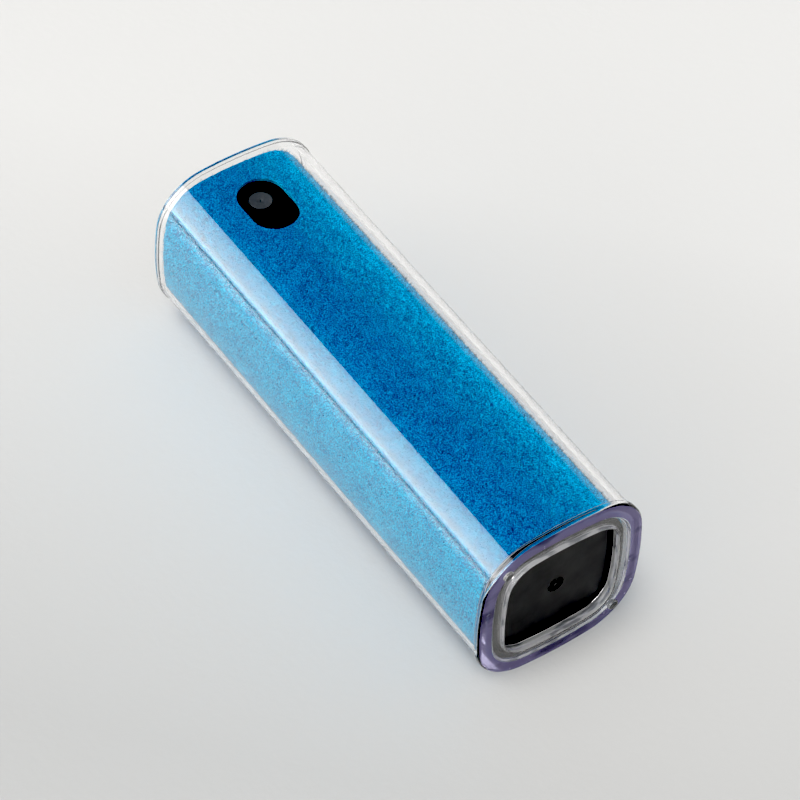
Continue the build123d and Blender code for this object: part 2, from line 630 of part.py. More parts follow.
# ---------------------------------------------------------------- inlet ball, return spring and dip tube
with BuildPart() as inlet_ball:
    with Locations(body_station(BALL_X).location):
        Sphere(BALL_RADIUS)
inlet_ball.part.label = "inlet_ball"
export_step(inlet_ball.part, "parts/inlet_ball.step")

# Hat-shaped cage over the ball: its brim carries the spring and its top limits the ball's lift
with BuildPart() as ball_retainer:
    with BuildSketch(body_profile_plane()):
        with BuildLine():
            Polyline(
                (RETAINER_TOP_X, RETAINER_VENT_RADIUS),
                (RETAINER_TOP_X, RETAINER_RADIUS),
                (RETAINER_BRIM_X, RETAINER_RADIUS),
                (RETAINER_BRIM_X, CYLINDER_BORE_RADIUS - RUNNING_FIT),
                (CYLINDER_END_X, CYLINDER_BORE_RADIUS - RUNNING_FIT),
                (CYLINDER_END_X, RETAINER_BORE_RADIUS),
                (RETAINER_TOP_X + RETAINER_WEB, RETAINER_BORE_RADIUS),
                (RETAINER_TOP_X + RETAINER_WEB, RETAINER_VENT_RADIUS),
                close=True,
            )
        make_face()
    revolve(axis=BODY_AXIS)
    with BuildSketch(window_plane(-RETAINER_RADIUS)):
        with Locations((BALL_X, 0)):
            Circle(RETAINER_PORT_RADIUS)
    extrude(amount=2 * RETAINER_RADIUS, mode=Mode.SUBTRACT)
ball_retainer.part.label = "ball_retainer"
export_step(ball_retainer.part, "parts/ball_retainer.step")

SPRING_LENGTH = SPRING_END_X - SPRING_START_X

with BuildPart() as return_spring:
    with BuildLine():
        coil = Helix(
            pitch=SPRING_LENGTH / SPRING_TURNS,
            height=SPRING_LENGTH,
            radius=SPRING_RADIUS,
            center=(SPRING_START_X, BODY_SHIFT_Y, BODY_AXIS_Z),
            direction=(1, 0, 0),
        )
    with BuildSketch(Plane(origin=coil @ 0, z_dir=coil % 0)):
        Circle(SPRING_WIRE_RADIUS)
    sweep(path=coil, is_frenet=True)
return_spring.part.label = "return_spring"
export_step(return_spring.part, "parts/return_spring.step")

TUBE_CUT_X = TUBE_END_X - TUBE_RADIUS * tan(radians(TUBE_SLANT))

with BuildPart() as dip_tube:
    with BuildSketch(body_station(CYLINDER_END_X + CYLINDER_END_WALL)):
        Circle(TUBE_RADIUS)
        Circle(TUBE_BORE_RADIUS, mode=Mode.SUBTRACT)
    extrude(amount=TUBE_END_X - CYLINDER_END_X - CYLINDER_END_WALL)
    # Slanted end, so that the tube can't seal itself against the bottle's base
    split(bisect_by=body_station(TUBE_CUT_X).rotated((0, TUBE_SLANT, 0)), keep=Keep.BOTTOM)
dip_tube.part.label = "dip_tube"
export_step(dip_tube.part, "parts/dip_tube.step")

# ---------------------------------------------------------------- screw collar
with BuildPart() as screw_collar:
    with BuildSketch(body_station(SCREW_COLLAR_TOP_X)):
        Circle(SCREW_COLLAR_RADIUS)
    extrude(amount=SCREW_COLLAR_END_X - SCREW_COLLAR_TOP_X)
    with BuildSketch(body_station(SCREW_COLLAR_TOP_X + SCREW_COLLAR_TOP_THICKNESS)):
        Circle(SCREW_COLLAR_BORE_RADIUS)
    extrude(amount=SCREW_COLLAR_END_X - SCREW_COLLAR_TOP_X, mode=Mode.SUBTRACT)
    with BuildSketch(body_station(SCREW_COLLAR_TOP_X)):
        Circle(SCREW_COLLAR_HOLE_RADIUS)
    extrude(amount=SCREW_COLLAR_TOP_THICKNESS, mode=Mode.SUBTRACT)
    # Thread, drawn as ridges that lie between the neck's
    for turn in range(THREAD_COUNT - 1):
        with BuildSketch(body_station(FIRST_THREAD_X + SCREW_COLLAR_THREAD_LAG + turn * THREAD_PITCH)):
            Circle(SCREW_COLLAR_BORE_RADIUS + RUNNING_FIT)
            Circle(NECK_RADIUS + THREAD_CREST_GAP, mode=Mode.SUBTRACT)
        extrude(amount=THREAD_WIDTH)
    # Grip ribs
    with BuildSketch(body_station(SCREW_COLLAR_TOP_X + SCREW_COLLAR_TOP_THICKNESS)):
        with PolarLocations(SCREW_COLLAR_RADIUS, SCREW_COLLAR_RIB_COUNT):
            Circle(SCREW_COLLAR_RIB_RADIUS)
    extrude(amount=SCREW_COLLAR_END_X - SCREW_COLLAR_TOP_X - SCREW_COLLAR_TOP_THICKNESS)
screw_collar.part.label = "screw_collar"
export_step(screw_collar.part, "parts/screw_collar.step")
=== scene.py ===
"""The looks of a pocket lens cleaning spray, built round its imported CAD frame. Lengths are in metres.

X runs along the stick, from the cover's mouth and the push button (-X) to its closed end with the
finger opening (+X). +Z is up, through the spray window.
"""
from math import atan2, cos, pi, radians, sin, sqrt, tan

import bmesh
import bpy
import numpy as np
from mathutils import Matrix, Vector


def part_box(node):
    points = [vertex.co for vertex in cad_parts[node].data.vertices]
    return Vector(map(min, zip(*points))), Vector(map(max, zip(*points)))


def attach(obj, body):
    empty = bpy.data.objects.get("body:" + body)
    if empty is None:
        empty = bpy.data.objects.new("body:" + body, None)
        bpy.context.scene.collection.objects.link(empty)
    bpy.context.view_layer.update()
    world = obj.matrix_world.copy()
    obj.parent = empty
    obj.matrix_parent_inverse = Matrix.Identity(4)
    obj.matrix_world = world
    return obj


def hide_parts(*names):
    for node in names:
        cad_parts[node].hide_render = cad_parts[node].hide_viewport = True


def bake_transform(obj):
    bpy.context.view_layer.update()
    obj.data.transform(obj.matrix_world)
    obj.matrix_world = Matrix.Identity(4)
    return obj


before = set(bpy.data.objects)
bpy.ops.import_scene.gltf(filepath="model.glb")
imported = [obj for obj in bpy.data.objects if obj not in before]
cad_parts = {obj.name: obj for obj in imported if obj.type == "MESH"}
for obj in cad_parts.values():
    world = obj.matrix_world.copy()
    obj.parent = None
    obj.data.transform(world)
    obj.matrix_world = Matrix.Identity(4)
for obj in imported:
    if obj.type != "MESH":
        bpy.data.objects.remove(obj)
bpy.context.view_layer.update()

# ---------------------------------------------------------------- sizes shared by the pieces
# Every section is parallel to one rounded square: crowned sides and round corners
BASE_HALF = 0.015
CROWN_RADIUS = 0.060
CORNER_RADIUS = 0.0094
CROWN_DROP = CROWN_RADIUS - BASE_HALF
CORNER_CENTRE = (sqrt(2 * (CROWN_RADIUS - CORNER_RADIUS) ** 2 - CROWN_DROP**2) - CROWN_DROP) / 2
CROWN_SPREAD = atan2(CORNER_CENTRE, CORNER_CENTRE + CROWN_DROP)
QUARTER = pi / 2

COVER_LOW, COVER_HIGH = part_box("clear_cover")
SLEEVE_LOW, SLEEVE_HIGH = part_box("microfibre_sleeve")
WINDOW_LENGTH = 0.0119
WINDOW_WIDTH = 0.0081
WINDOW_FROM_MOUTH = 0.01085

CLOTH_HALF = (SLEEVE_HIGH.z - SLEEVE_LOW.z) / 2
CLOTH_THICKNESS = 0.00055
# The side of the cloth's mesh squares
CLOTH_STEP = 0.00042
# How deep the cloth's surface is roughened, and how far its edges roll over
PILE_DEPTH = 0.000035
EDGE_ROLL = 0.0002
SEAM_ANGLE = pi - radians(31)
SEAM_GAP = 0.00001

COVER_AXIS = ((COVER_LOW.y + COVER_HIGH.y) / 2, (COVER_LOW.z + COVER_HIGH.z) / 2)
BODY_AXIS = ((SLEEVE_LOW.y + SLEEVE_HIGH.y) / 2, (SLEEVE_LOW.z + SLEEVE_HIGH.z) / 2)


# ---------------------------------------------------------------- outlines and profiles
def outline(angles, half):
    """Points (y, z), at these normal angles, of the rounded square of this half width."""
    side = np.round(angles / QUARTER) * QUARTER
    corner = (np.floor(angles / QUARTER) + 0.5) * QUARTER
    on_side = np.abs(angles - side) <= CROWN_SPREAD
    centre_y = np.where(on_side, -CROWN_DROP * np.cos(side), sqrt(2) * CORNER_CENTRE * np.cos(corner))
    centre_z = np.where(on_side, -CROWN_DROP * np.sin(side), sqrt(2) * CORNER_CENTRE * np.sin(corner))
    radius = np.where(on_side, CROWN_RADIUS, CORNER_RADIUS) + half - BASE_HALF
    return centre_y + radius * np.cos(angles), centre_z + radius * np.sin(angles)


def even_angles(per_side, per_corner):
    """Normal angles round the rounded square, evenly spaced within each side and each corner."""
    side = np.linspace(-CROWN_SPREAD, CROWN_SPREAD, per_side, endpoint=False)
    corner = np.linspace(CROWN_SPREAD, QUARTER - CROWN_SPREAD, per_corner, endpoint=False)
    stations = []
    for quarter in range(4):
        start = quarter * QUARTER
        stations.append(start + side)
        stations.append(start + corner)
    return np.concatenate(stations)


def rounded_profile(corners, steps=5, support=0.00003):
    """A closed profile through (x, half, rounding) corners, with an arc and two support points at each."""
    points = []
    count = len(corners)
    for i in range(count):
        here = np.array(corners[i][:2])
        before = np.array(corners[i - 1][:2])
        after = np.array(corners[(i + 1) % count][:2])
        rounding = corners[i][2]
        way_in = (here - before) / np.linalg.norm(here - before)
        way_out = (after - here) / np.linalg.norm(after - here)
        turn = atan2(way_in[0] * way_out[1] - way_in[1] * way_out[0], way_in @ way_out)
        reach = rounding * tan(abs(turn) / 2)
        start = here - reach * way_in
        left = np.array((-way_in[1], way_in[0])) * (1 if turn > 0 else -1)
        centre = start + rounding * left
        points.append(start - support * way_in)
        for k in range(steps + 1):
            angle = turn * k / steps
            spoke = -left
            turned = (
                spoke[0] * cos(angle) - spoke[1] * sin(angle),
                spoke[0] * sin(angle) + spoke[1] * cos(angle),
            )
            points.append(centre + rounding * np.array(turned))
        points.append(here + (reach + support) * way_out)
    return points


def mesh_object(name, vertices, faces, sharp_angle=None):
    """A mesh object at the origin, smooth but for edges sharper than sharp_angle."""
    mesh = bpy.data.meshes.new(name)
    mesh.from_pydata([tuple(v) for v in vertices], [], [tuple(int(i) for i in f) for f in faces])
    mesh.validate()
    piece = bpy.data.objects.new(name, mesh)
    bpy.context.scene.collection.objects.link(piece)
    mesh.shade_smooth()
    if sharp_angle is not None:
        mesh.set_sharp_from_angle(angle=sharp_angle)
    return piece


def ring_faces(rings, columns, closed_rings):
    """Quads between successive rings of vertices, each ring closed on itself."""
    starts = np.arange(rings if closed_rings else rings - 1)
    ring, column = np.meshgrid(starts, np.arange(columns), indexing="ij")
    ring = ring.ravel()
    column = column.ravel()
    next_ring = (ring + 1) % rings
    next_column = (column + 1) % columns
    return np.stack(
        (
            ring * columns + column,
            ring * columns + next_column,
            next_ring * columns + next_column,
            next_ring * columns + column,
        ),
        axis=1,
    )


# ---------------------------------------------------------------- node helpers
def new_material(name):
    """An empty node material, with its tree and its output node."""
    material = bpy.data.materials.new(name)
    material.use_nodes = True
    tree = material.node_tree
    tree.nodes.clear()
    return material, tree, tree.nodes.new("ShaderNodeOutputMaterial")


def principled(tree, **values):
    """A Principled BSDF with constant values set on its own sockets."""
    shader = tree.nodes.new("ShaderNodeBsdfPrincipled")
    for key, value in values.items():
        shader.inputs[key.replace("_", " ")].default_value = value
    return shader


def object_place(tree, stretch=(1, 1, 1)):
    """The object's own coordinates, stretched along X, Y and Z."""
    place = tree.nodes.new("ShaderNodeTexCoord")
    mapping = tree.nodes.new("ShaderNodeMapping")
    mapping.inputs["Scale"].default_value = stretch
    tree.links.new(place.outputs["Object"], mapping.inputs["Vector"])
    return mapping.outputs["Vector"]


def noise(tree, scale, detail=2.0, roughness=0.5, stretch=(1, 1, 1)):
    """A noise value at this scale, in cells per metre."""
    texture = tree.nodes.new("ShaderNodeTexNoise")
    texture.inputs["Scale"].default_value = scale
    texture.inputs["Detail"].default_value = detail
    texture.inputs["Roughness"].default_value = roughness
    tree.links.new(object_place(tree, stretch), texture.inputs["Vector"])
    return texture.outputs["Fac"]


def ramp(tree, factor, stops):
    """A colour ramp over factor, with (position, colour) stops."""
    node = tree.nodes.new("ShaderNodeValToRGB")
    elements = node.color_ramp.elements
    while len(elements) < len(stops):
        elements.new(0.5)
    for element, (position, colour) in zip(elements, stops):
        element.position = position
        element.color = (*colour, 1)
    tree.links.new(factor, node.inputs["Fac"])
    return node.outputs["Color"]


def span(tree, value, low, high):
    """Value from 0..1 mapped to low..high."""
    node = tree.nodes.new("ShaderNodeMapRange")
    node.inputs["To Min"].default_value = low
    node.inputs["To Max"].default_value = high
    tree.links.new(value, node.inputs["Value"])
    return node.outputs["Result"]


def bump(tree, height, distance):
    """A bump normal from height, this far in metres."""
    node = tree.nodes.new("ShaderNodeBump")
    node.inputs["Distance"].default_value = distance
    node.inputs["Strength"].default_value = 1.0
    tree.links.new(height, node.inputs["Height"])
    return node.outputs["Normal"]


# ---------------------------------------------------------------- materials
def moulded_plastic(name, dark, light, rough_low, rough_high, grain=1500.0, grain_depth=0.000004):
    """Opaque moulded plastic: a faint mottle in its colour and gloss, over a fine moulded grain."""
    material, tree, output = new_material(name)
    shader = principled(tree, IOR=1.5)
    mottle = noise(tree, scale=160.0, detail=3.0)
    gloss = noise(tree, scale=420.0, detail=4.0)
    tree.links.new(ramp(tree, mottle, ((0.3, dark), (0.7, light))), shader.inputs["Base Color"])
    tree.links.new(span(tree, gloss, rough_low, rough_high), shader.inputs["Roughness"])
    tree.links.new(bump(tree, noise(tree, scale=grain), grain_depth), shader.inputs["Normal"])
    tree.links.new(shader.outputs["BSDF"], output.inputs["Surface"])
    return material


def see_through(tree, shader, output, lamp_tint=(1, 1, 1)):
    """Links shader to output, but lets rays from lamps and bounced light straight through, tinted."""
    passing = tree.nodes.new("ShaderNodeBsdfTransparent")
    passing.inputs["Color"].default_value = (*lamp_tint, 1)
    path = tree.nodes.new("ShaderNodeLightPath")
    for ray in ("Is Shadow Ray", "Is Diffuse Ray"):
        mix = tree.nodes.new("ShaderNodeMixShader")
        tree.links.new(path.outputs[ray], mix.inputs["Fac"])
        tree.links.new(shader, mix.inputs[1])
        tree.links.new(passing.outputs["BSDF"], mix.inputs[2])
        shader = mix.outputs["Shader"]
    tree.links.new(shader, output.inputs["Surface"])


def clear_material(name, tint, ior, rough_high, lamp_tint=(1, 1, 1)):
    """Clear plastic or liquid with faint wear along X, which lets lamps and bounced light through."""
    material, tree, output = new_material(name)
    shader = principled(tree, Base_Color=(*tint, 1), IOR=ior, Transmission_Weight=1.0)
    wear = noise(tree, scale=420.0, detail=3.0, roughness=0.6, stretch=(0.02, 1, 1))
    tree.links.new(span(tree, wear, 0.0, rough_high), shader.inputs["Roughness"])
    see_through(tree, shader.outputs["BSDF"], output, lamp_tint)
    return material


def patched_material(name, dark, light, through, roughness, scale, stretch):
    """Plastic that is partly clear, as far as through says, and partly coloured in patches of two colours;
    on the ring face and on the opening's inner wall these colours are painted light.
    """
    material, tree, output = new_material(name)
    shader = principled(tree, IOR=1.49, Transmission_Weight=through)
    patches = noise(tree, scale, roughness=0.4, stretch=stretch)
    gloss = noise(tree, scale=900.0, detail=3.0)
    tree.links.new(ramp(tree, patches, ((0.38, dark), (0.5, light))), shader.inputs["Base Color"])
    tree.links.new(span(tree, gloss, 0.7 * roughness, roughness), shader.inputs["Roughness"])
    see_through(tree, shader.outputs["BSDF"], output)
    return material


# The pile's colours, from dark to light
PILE_STOPS = (
    (0.45, (0.0, 0.04, 0.19)),
    (0.575, (0.0, 0.152, 0.42)),
    (0.70, (0.0, 0.31, 0.64)),
)
# Painted light: what the pile's colour is multiplied by, from where the cloth faces +Y (0) to where it
# faces -Y (1). The side towards -Y is painted lighter and more cyan as if lit from there, the rounded edge
# below the top carries a painted highlight band, darker just above the seam, and the side towards +Y is
# painted pale cyan in place of a reflection; where it faces straight up or down it is left as it is.
PAINTED_LIGHT_STOPS = (
    (0.34, (1.0, 2.5, 1.9)),
    (0.40, (1.0, 2.05, 1.6)),
    (0.447, (1.0, 1.6, 1.3)),
    (0.49, (1.0, 1.12, 1.06)),
    (0.53, (1.0, 1.0, 1.0)),
    (0.625, (1.0, 1.0, 1.0)),
    (0.72, (1.0, 1.1, 1.0)),
    (0.75, (1.0, 1.5, 1.06)),
    (0.85, (1.0, 1.24, 0.9)),
    (0.9, (1.0, 0.62, 0.47)),
    (0.985, (1.0, 2.0, 1.36)),
)
# How strongly the coarser patches show over the fine grain, and the depth of the grain
PATCH_SHARE = 0.15
GRAIN_DEPTH = 0.0003


def microfibre_material():
    """Brushed microfibre: a fine mottled pile, with painted light multiplied into its colour by the way its
    surface faces.
    """
    material, tree, output = new_material("microfibre")
    shader = principled(tree, Roughness=0.95, Sheen_Weight=0.3, Sheen_Roughness=0.45)
    shader.inputs["Sheen Tint"].default_value = (0.0, 0.75, 1.0, 1)
    grain = noise(tree, scale=4600.0, roughness=0.6)
    patches = noise(tree, scale=420.0, detail=3.0, roughness=0.6)
    blend = tree.nodes.new("ShaderNodeMath")
    blend.operation = "MULTIPLY_ADD"
    tree.links.new(patches, blend.inputs[0])
    blend.inputs[1].default_value = PATCH_SHARE
    tree.links.new(grain, blend.inputs[2])
    pile = ramp(tree, blend.outputs["Value"], PILE_STOPS)
    place = tree.nodes.new("ShaderNodeTexCoord")
    parts = tree.nodes.new("ShaderNodeSeparateXYZ")
    tree.links.new(place.outputs["Normal"], parts.inputs["Vector"])
    facing = tree.nodes.new("ShaderNodeMath")
    facing.operation = "MULTIPLY_ADD"
    facing.inputs[1].default_value = -0.5
    facing.inputs[2].default_value = 0.5
    tree.links.new(parts.outputs["Y"], facing.inputs[0])
    # This ramp paints light, highlights and a reflection into the pile's colour by the way the cloth faces.
    tint = ramp(tree, facing.outputs["Value"], PAINTED_LIGHT_STOPS)
    pile_with_painted_light = tree.nodes.new("ShaderNodeVectorMath")
    pile_with_painted_light.operation = "MULTIPLY"
    tree.links.new(pile, pile_with_painted_light.inputs[0])
    tree.links.new(tint, pile_with_painted_light.inputs[1])
    tree.links.new(pile_with_painted_light.outputs["Vector"], shader.inputs["Base Color"])
    tree.links.new(bump(tree, grain, GRAIN_DEPTH), shader.inputs["Normal"])
    tree.links.new(shader.outputs["BSDF"], output.inputs["Surface"])
    return material


def metal(name, colour, rough_low, rough_high):
    """Metal with a fine mottle in its gloss."""
    material, tree, output = new_material(name)
    shader = principled(tree, Base_Color=(*colour, 1), Metallic=1.0)
    gloss = noise(tree, scale=900.0, detail=3.0)
    tree.links.new(span(tree, gloss, rough_low, rough_high), shader.inputs["Roughness"])
    tree.links.new(shader.outputs["BSDF"], output.inputs["Surface"])
    return material


# ---------------------------------------------------------------- pieces
# The cover: how far its features reach along X, from its mouth or from its ring's face
LIP_LENGTH = 0.0011
RING_LENGTH = 0.0012
GROOVE_DEPTH = 0.00035
COLLAR_PROUD = 0.00028
COLLAR_INWARD = 0.00145
END_THICKNESS = 0.0008
# Half the width of each of its surfaces, across the flats
MOUTH_INNER_HALF = 0.01405
WALL_HALF_AT_LIP = 0.0151
WALL_HALF_AT_RING = 0.0148
CAVITY_HALF_AT_END = 0.01375
GROOVE_HALF = 0.0128
GROOVE_FLOOR_HALF = 0.01245
COLLAR_HALF = 0.01095
OPENING_HALF = 0.0106
# The rounding of its edges
CRISP = 0.00005
SHARP = 0.00008
EASED = 0.00010
SOFT = 0.00025
RING_ROUNDING = 0.00055
# Its two pips
PIP_PLACE = 0.0107
PIP_RADIUS = 0.00095
PIP_HEIGHT = 0.0005
PIP_ROUNDING = 0.00035
PIP_ROOT = 0.0006

# Which strips of the cover take which material: a corner of its profile, the first strip there, the slot
SLOT_RINGS = ((6, 4, 1), (7, 7, 3), (8, 7, 2), (11, 4, 3))
PIP_SLOT = 2


def cover_shell(materials):
    """The clear cover: one moulding with a lip, a ring, a sunk end, a collared finger opening and two pips.

    The materials are the wall's, the ring face's, whose colour is painted light, the sunk area's, and one
    for the side of the groove and the opening's inner wall, whose white streaks are painted reflections.
    """
    mouth = COVER_LOW.x
    ring_face = COVER_HIGH.x - PIP_HEIGHT
    outer = (COVER_HIGH.z - COVER_LOW.z) / 2
    corners = [
        (mouth, MOUTH_INNER_HALF, EASED),
        (mouth, outer, SOFT),
        (mouth + LIP_LENGTH, outer, SHARP),
        (mouth + LIP_LENGTH, WALL_HALF_AT_LIP, CRISP),
        (ring_face - RING_LENGTH, WALL_HALF_AT_RING, CRISP),
        (ring_face - RING_LENGTH, outer, SHARP),
        (ring_face, outer, RING_ROUNDING),
        (ring_face, GROOVE_HALF, SHARP),
        (ring_face - GROOVE_DEPTH, GROOVE_FLOOR_HALF, SHARP),
        (ring_face - GROOVE_DEPTH, COLLAR_HALF, SHARP),
        (ring_face + COLLAR_PROUD, COLLAR_HALF, EASED),
        (ring_face + COLLAR_PROUD, OPENING_HALF, EASED),
        (ring_face - COLLAR_INWARD, OPENING_HALF, SHARP),
        (ring_face - COLLAR_INWARD, COLLAR_HALF, SHARP),
        (ring_face - END_THICKNESS, COLLAR_HALF, SHARP),
        (ring_face - END_THICKNESS, CAVITY_HALF_AT_END, SOFT),
    ]
    profile = rounded_profile(corners)
    angles = even_angles(per_side=20, per_corner=26)
    vertices = []
    for x, half in profile:
        y, z = outline(angles, half)
        vertices.append(np.stack((np.full_like(y, x), COVER_AXIS[0] + y, COVER_AXIS[1] + z), axis=1))
    faces = ring_faces(len(profile), len(angles), closed_rings=True)
    shell = mesh_object("cover_shell", np.concatenate(vertices), faces)
    face_outwards(shell)
    for material in materials:
        shell.data.materials.append(material)
    per_corner = len(profile) // len(corners)
    for corner, first, slot in SLOT_RINGS:
        start = (corner * per_corner + first) * len(angles)
        end = (corner + 1) * per_corner * len(angles)
        for face in shell.data.polygons[start:end]:
            face.material_index = slot
    for side in (-1, 1):
        place = side * PIP_PLACE
        pip = turned_pip(Vector((ring_face, COVER_AXIS[0] + place, COVER_AXIS[1] - place)))
        for face in pip.data.polygons:
            face.material_index = PIP_SLOT
        unite(shell, pip)
    shell.data.set_sharp_from_angle(angle=radians(40))
    return shell


def face_outwards(piece):
    """Makes a closed mesh's faces look out of it."""
    work = bmesh.new()
    work.from_mesh(piece.data)
    bmesh.ops.recalc_face_normals(work, faces=work.faces)
    work.to_mesh(piece.data)
    work.free()
    piece.data.shade_smooth()


def turned_pip(centre, spokes=40, steps=8):
    """A small round pip with a rounded top, standing along +X from its root below centre."""
    shoulder = PIP_HEIGHT - PIP_ROUNDING
    crown = PIP_RADIUS - PIP_ROUNDING
    stations = [(-PIP_ROOT, 0.0), (-PIP_ROOT, PIP_RADIUS), (shoulder, PIP_RADIUS)]
    for k in range(1, steps + 1):
        angle = QUARTER * k / steps
        stations.append((shoulder + PIP_ROUNDING * sin(angle), crown + PIP_ROUNDING * cos(angle)))
    stations.append((PIP_HEIGHT, 0.0))
    work = bmesh.new()
    rings = []
    for along, out in stations:
        if out == 0.0:
            rings.append([work.verts.new(centre + Vector((along, 0, 0)))])
            continue
        spin = [2 * pi * k / spokes for k in range(spokes)]
        rings.append([work.verts.new(centre + Vector((along, out * cos(a), out * sin(a)))) for a in spin])
    for lower, upper in zip(rings, rings[1:]):
        for k in range(spokes):
            corner_loop = [lower[k % len(lower)], lower[(k + 1) % len(lower)]]
            corner_loop += [upper[(k + 1) % len(upper)], upper[k % len(upper)]]
            work.faces.new(list(dict.fromkeys(corner_loop)))
    bmesh.ops.recalc_face_normals(work, faces=work.faces)
    mesh = bpy.data.meshes.new("pip")
    work.to_mesh(mesh)
    work.free()
    mesh.shade_smooth()
    pip = bpy.data.objects.new("pip", mesh)
    bpy.context.scene.collection.objects.link(pip)
    return pip


def unite(piece, other):
    """Joins other into piece as one closed solid."""
    union = piece.modifiers.new("union", "BOOLEAN")
    union.operation = "UNION"
    union.solver = "EXACT"
    union.object = other
    bpy.context.view_layer.update()
    joined = bpy.data.meshes.new_from_object(piece.evaluated_get(bpy.context.evaluated_depsgraph_get()))
    piece.modifiers.clear()
    piece.data = joined
    bpy.data.objects.remove(other)


def coil_spring():
    """The return spring: a wound coil in one piece."""
    low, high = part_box("return_spring")
    wire_radius = 0.00022
    turns = 7
    per_turn = 40
    spokes = 12
    radius = (high.z - low.z) / 2 - wire_radius
    length = high.x - low.x - 2 * wire_radius
    along = np.linspace(0, 1, turns * per_turn + 1)[:, None]
    wound = 2 * pi * turns * along
    spin = (2 * pi * np.arange(spokes) / spokes)[None, :]
    out = radius + wire_radius * np.cos(spin)
    x = low.x + wire_radius + length * along + wire_radius * np.sin(spin)
    y = BODY_AXIS[0] + out * np.cos(wound)
    z = BODY_AXIS[1] + out * np.sin(wound)
    vertices = np.stack((x, y, z), axis=2).reshape(-1, 3)
    quads = [tuple(quad) for quad in ring_faces(len(along), spokes, closed_rings=False)]
    ends = [tuple(range(spokes)), tuple(range(len(vertices) - 1, len(vertices) - spokes - 1, -1))]
    coil = mesh_object("coil_spring", vertices, quads + ends, sharp_angle=radians(60))
    face_outwards(coil)
    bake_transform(coil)
    return coil


def slot_distance(x, y):
    """How far (x, y) is outside the spray window's outline, measured in the plane of the window."""
    centre_x = COVER_LOW.x + WINDOW_FROM_MOUTH
    straight = (WINDOW_LENGTH - WINDOW_WIDTH) / 2
    beyond = np.maximum(np.abs(x - centre_x) - straight, 0)
    across = y - BODY_AXIS[0]
    return np.hypot(beyond, across) - WINDOW_WIDTH / 2


def wrap(points=4001):
    """The cloth's way round the body, from seam to seam: distances run, and the normal angle at each."""
    angles = np.linspace(SEAM_ANGLE, SEAM_ANGLE + 2 * pi, points)
    y, z = outline(same_turn(angles), CLOTH_HALF)
    return np.concatenate(([0], np.cumsum(np.hypot(np.diff(y), np.diff(z))))), angles


def same_turn(angles):
    """The same angles within one turn, from -45 degrees on."""
    return np.mod(angles + pi / 4, 2 * pi) - pi / 4


def rolled(distance):
    """How far the cloth's surface drops this far from its edge, where it rolls over."""
    short = 1 - np.clip(distance / EDGE_ROLL, 0, 1)
    return EDGE_ROLL * (1 - np.sqrt(np.clip(1 - short**2, 0, 1)))


def microfibre_cloth():
    """The cloth: one sheet wrapped round the housing to meet in a seam, with the window cut out.

    It is returned with its flat size: the way round at the middle of its thickness, and its length.
    """
    run, fine = wrap()
    columns = int(run[-1] / CLOTH_STEP)
    along_run = np.linspace(SEAM_GAP, run[-1] - SEAM_GAP, columns)
    edge = np.minimum(along_run, run[-1] - along_run)
    angles = np.interp(along_run, run, fine)
    rows = int((SLEEVE_HIGH.x - SLEEVE_LOW.x) / CLOTH_STEP)
    stations = np.linspace(SLEEVE_LOW.x, SLEEVE_HIGH.x, rows)
    end = np.minimum(stations - SLEEVE_LOW.x, SLEEVE_HIGH.x - stations)

    rng = np.random.default_rng(7)
    pile = rng.normal(0, 1, (rows, columns)) * PILE_DEPTH
    calm = np.clip(edge / (3 * CLOTH_STEP), 0, 1)
    lift = pile * calm[None, :] - np.maximum(rolled(edge)[None, :], rolled(end)[:, None])

    wrapped = same_turn(angles)
    normal_y = np.cos(wrapped)
    normal_z = np.sin(wrapped)
    base_y, base_z = outline(wrapped, CLOTH_HALF)
    outer = np.zeros((rows, columns, 3))
    outer[..., 0] = stations[:, None]
    outer[..., 1] = BODY_AXIS[0] + base_y[None, :] + lift * normal_y[None, :]
    outer[..., 2] = BODY_AXIS[1] + base_z[None, :] + lift * normal_z[None, :]
    inner = np.zeros_like(outer)
    inner[..., 0] = stations[:, None]
    inner[..., 1] = (BODY_AXIS[0] + base_y - CLOTH_THICKNESS * normal_y)[None, :]
    inner[..., 2] = (BODY_AXIS[1] + base_z - CLOTH_THICKNESS * normal_z)[None, :]

    on_top = outer[..., 2] > BODY_AXIS[1]
    inside = snap_to_window(outer, on_top)
    snap_to_window(inner, on_top)
    vertices = np.concatenate((outer.reshape(-1, 3), inner.reshape(-1, 3)))
    row, column = np.meshgrid(np.arange(rows - 1), np.arange(columns - 1), indexing="ij")
    here = (row * columns + column).ravel()
    quads = np.stack((here, here + columns, here + columns + 1, here + 1), axis=1)
    kept = quads[~inside.ravel()[quads].all(axis=1)]
    other = kept[:, ::-1] + rows * columns
    rim = rim_quads(kept, rows * columns)
    used = np.concatenate((kept, other, rim))
    names, packed = np.unique(used, return_inverse=True)
    faces = packed.reshape(used.shape)
    cloth = mesh_object("microfibre_cloth", vertices[names], faces, sharp_angle=radians(70))
    face_outwards(cloth)
    perimeter = run[-1] - 2 * pi * CLOTH_THICKNESS / 2
    return cloth, (perimeter, SLEEVE_HIGH.x - SLEEVE_LOW.x)


